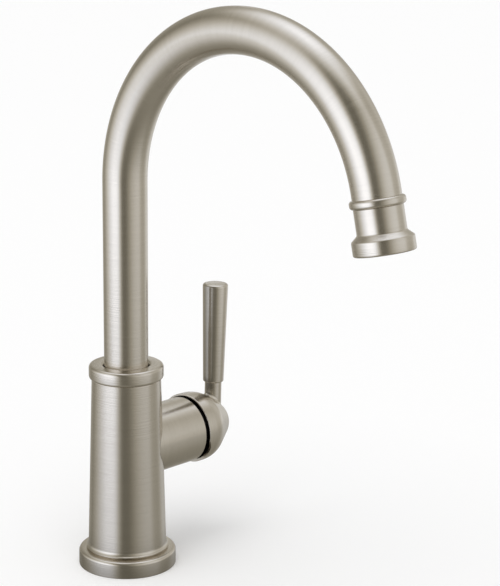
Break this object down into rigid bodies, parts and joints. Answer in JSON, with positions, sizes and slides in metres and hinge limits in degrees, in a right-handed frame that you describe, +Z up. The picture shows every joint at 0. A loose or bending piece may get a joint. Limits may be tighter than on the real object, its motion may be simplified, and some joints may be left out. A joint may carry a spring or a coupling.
{
  "type": "single-handle kitchen faucet",
  "caption": "High-arc kitchen faucet: tapered column on a round foot, swivelling gooseneck spout with a flared outlet, and a side lever valve for flow and temperature.",
  "frame": {"origin": "on the riser's axis at deck level, on the underside of the round foot", "axes": "+Z up along the riser, -Y towards the user along the spout at rest, +X towards the valve and its lever at the user's right"},
  "size_m": [0.1196, 0.2578, 0.425],
  "materials": {
    "satin_nickel": "warm satin nickel plating, finely brushed round each turned piece",
    "brass": "turned and cast brass, unplated",
    "steel": "plain stainless steel",
    "rubber": "black nitrile rubber",
    "white_plastic": "white acetal",
    "dark_plastic": "black moulded plastic",
    "ceramic": "lapped alumina"
  },
  "bodies": {
    "base": {"base_flange": "satin_nickel", "base_gasket": "rubber", "body_shell": "satin_nickel", "mounting_shank": "brass", "mounting_gasket": "rubber", "mounting_washer": "steel", "mounting_nut": "brass", "waterway": "brass", "valve_chamber": "brass", "chamber_screws": "steel", "port_seals": "rubber", "cartridge_seals": "rubber", "cartridge_base": "white_plastic", "fixed_disc": "ceramic", "cartridge_case": "white_plastic", "retaining_nut": "brass", "valve_sleeve": "satin_nickel", "bonnet_cap": "dark_plastic", "lower_slip_ring": "white_plastic", "upper_slip_ring": "white_plastic", "spout_collar": "satin_nickel"},
    "spout": {"spout_tube": "satin_nickel", "spout_base": "brass", "spout_orings": "rubber", "spout_bead": "satin_nickel", "nozzle": "satin_nickel", "aerator_gasket": "rubber", "aerator_housing": "dark_plastic", "flow_regulator": "white_plastic", "aerator_screen": "dark_plastic"},
    "rotor": {"stem_carrier": "white_plastic", "fulcrum_pin": "steel"},
    "disc": {"moving_disc": "ceramic", "disc_carrier": "white_plastic"},
    "handle": {"valve_stem": "steel", "handle_hub": "satin_nickel", "handle_grip": "satin_nickel", "handle_set_screw": "steel"}
  },
  "joints": [
    {"name": "spout_swivel", "type": "hinge", "parent": "base", "child": "spout", "pos_m": [0, 0, 0], "axis": [0, 0, 1], "continuous": true},
    {"name": "temperature_turn", "type": "hinge", "parent": "base", "child": "rotor", "pos_m": [0, 0, 0.078], "axis": [1, 0, 0], "range_deg": [-45, 45]},
    {"name": "flow_lift", "type": "hinge", "parent": "rotor", "child": "handle", "pos_m": [0.0478, 0, 0.078], "axis": [0, 1, 0], "range_deg": [0, 25]},
    {"name": "disc_slide", "type": "slide", "parent": "rotor", "child": "disc", "axis": [0, 0, 1], "range_m": [0, 0.0055]}
  ],
  "couplings": [
    {"joint": "disc_slide", "follows": "flow_lift", "m_per_rad": 0.012591}
  ]
}
